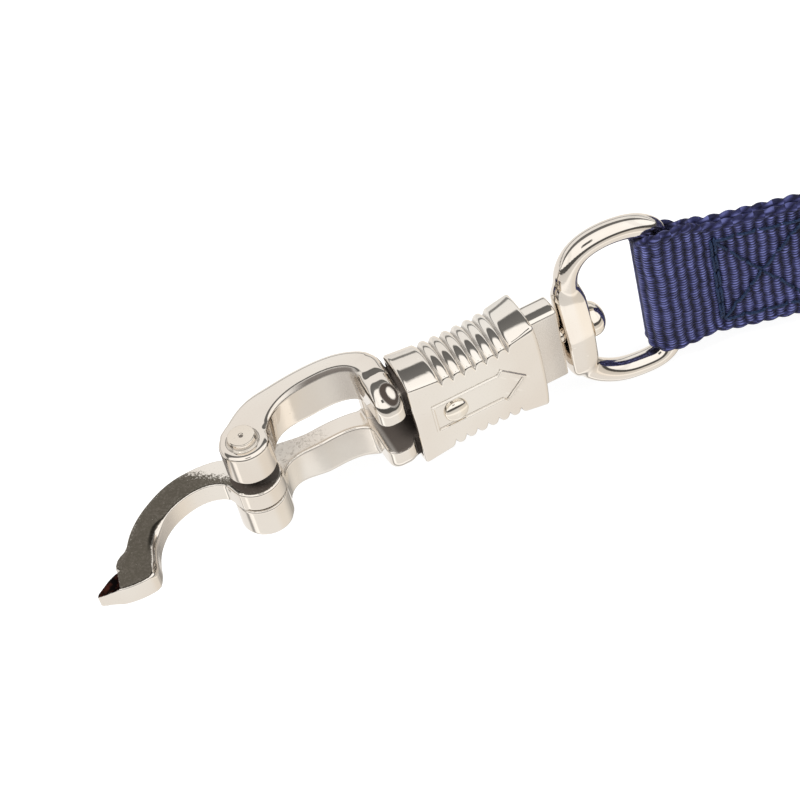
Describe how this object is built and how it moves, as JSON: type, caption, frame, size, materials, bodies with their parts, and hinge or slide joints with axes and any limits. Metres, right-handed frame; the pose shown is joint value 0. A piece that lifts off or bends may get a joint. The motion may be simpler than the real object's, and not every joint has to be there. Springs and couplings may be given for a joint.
{
  "type": "lead rope with quick-release snap",
  "caption": "Flat webbing lead with a quick-release snap: a hinged hook held shut by a sprung sliding sleeve, on a swivelling eye that the webbing is looped and stitched round.",
  "frame": {"origin": "centre of the closed snap's eye, where a halter ring passes, on the swivel axis", "axes": "+X from the snap along the swivel axis towards the webbing; +Z along the hook's hinge pin; the lead lies on its edges with -Z down"},
  "size_m": [0.2808, 0.1214, 0.0356],
  "materials": {
    "nickel_cast": "bright nickel plating on die-cast metal, warm tone, slightly soft reflections",
    "nickel_pin": "bright nickel plating, lightly worn",
    "spring_steel": "drawn spring wire",
    "navy_webbing": "navy ribbed synthetic webbing, soft sheen on the ribs",
    "navy_thread": "navy sewing thread, a touch bluer than the webbing"
  },
  "bodies": {
    "snap_body": {"fork_body": "nickel_cast", "hinge_pin": "nickel_pin", "swivel_rivet": "nickel_pin", "release_spring": "spring_steel"},
    "hook": {"hook": "nickel_cast"},
    "sleeve": {"release_sleeve": "nickel_cast", "release_pin": "nickel_pin"},
    "eye": {"swivel_eye": "nickel_cast"},
    "lead": {"lead_webbing": "navy_webbing", "snap_end_needle_thread": "navy_thread", "snap_end_bobbin_thread": "navy_thread", "far_end_needle_thread": "navy_thread", "far_end_bobbin_thread": "navy_thread"}
  },
  "joints": [
    {"name": "hook_hinge", "type": "hinge", "parent": "snap_body", "child": "hook", "pos_m": [-0.013, 0.001, 0], "axis": [0, 0, 1], "range_deg": [-150, 160]},
    {"name": "sleeve_slide", "type": "slide", "parent": "snap_body", "child": "sleeve", "axis": [1, 0, 0], "range_m": [0, 0.0054], "stiffness_N_per_m": 600, "springref_m": -0.004, "deforming": ["release_spring"]},
    {"name": "eye_swivel", "type": "hinge", "parent": "snap_body", "child": "eye", "pos_m": [0.044, 0, 0], "axis": [1, 0, 0], "continuous": true},
    {"name": "webbing_hinge", "type": "hinge", "parent": "eye", "child": "lead", "pos_m": [0.0605, 0, 0], "axis": [0, 0, 1], "range_deg": [-70, 100]}
  ]
}
